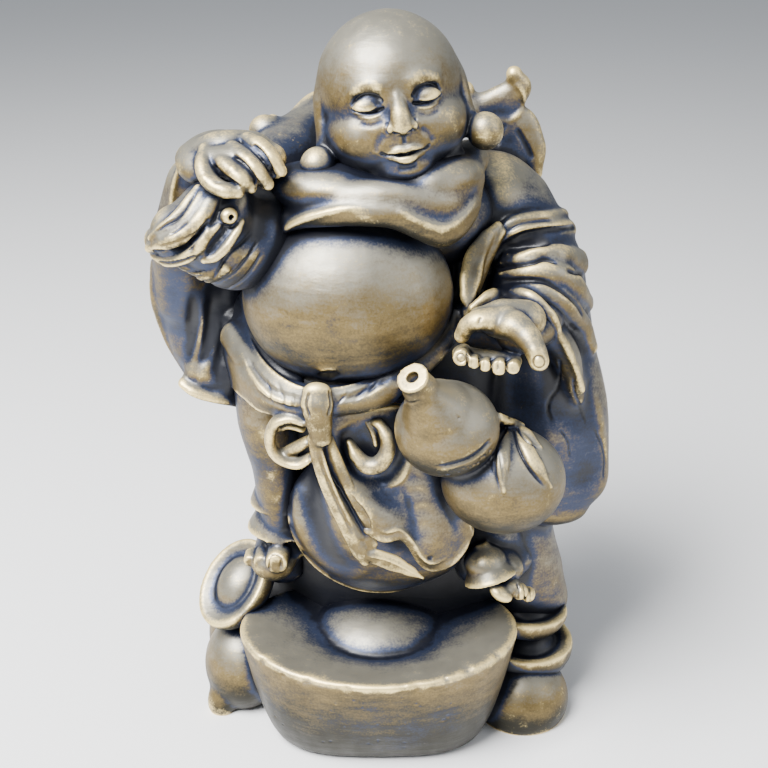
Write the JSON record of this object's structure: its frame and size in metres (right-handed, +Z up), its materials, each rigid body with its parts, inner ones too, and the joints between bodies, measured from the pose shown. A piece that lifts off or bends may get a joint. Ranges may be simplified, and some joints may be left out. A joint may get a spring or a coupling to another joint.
{
  "type": "budai garden figure",
  "caption": "Standing laughing-monk garden figure with a carp over the shoulders, a gourd and a boat-shaped ingot at the feet, cast in one piece.",
  "frame": {"origin": "on the flat underside, below the middle of the body", "axes": "+Z up through the head, the figure faces -Y, and its left hand with the gourd is on the +X side"},
  "size_m": [0.2489, 0.1768, 0.4032],
  "materials": {
    "bronze_paint": "bronze-coloured paint dry-brushed over a blue-black ground, satin"
  },
  "bodies": {
    "root": {"budai_figure": "bronze_paint"}
  },
  "joints": []
}
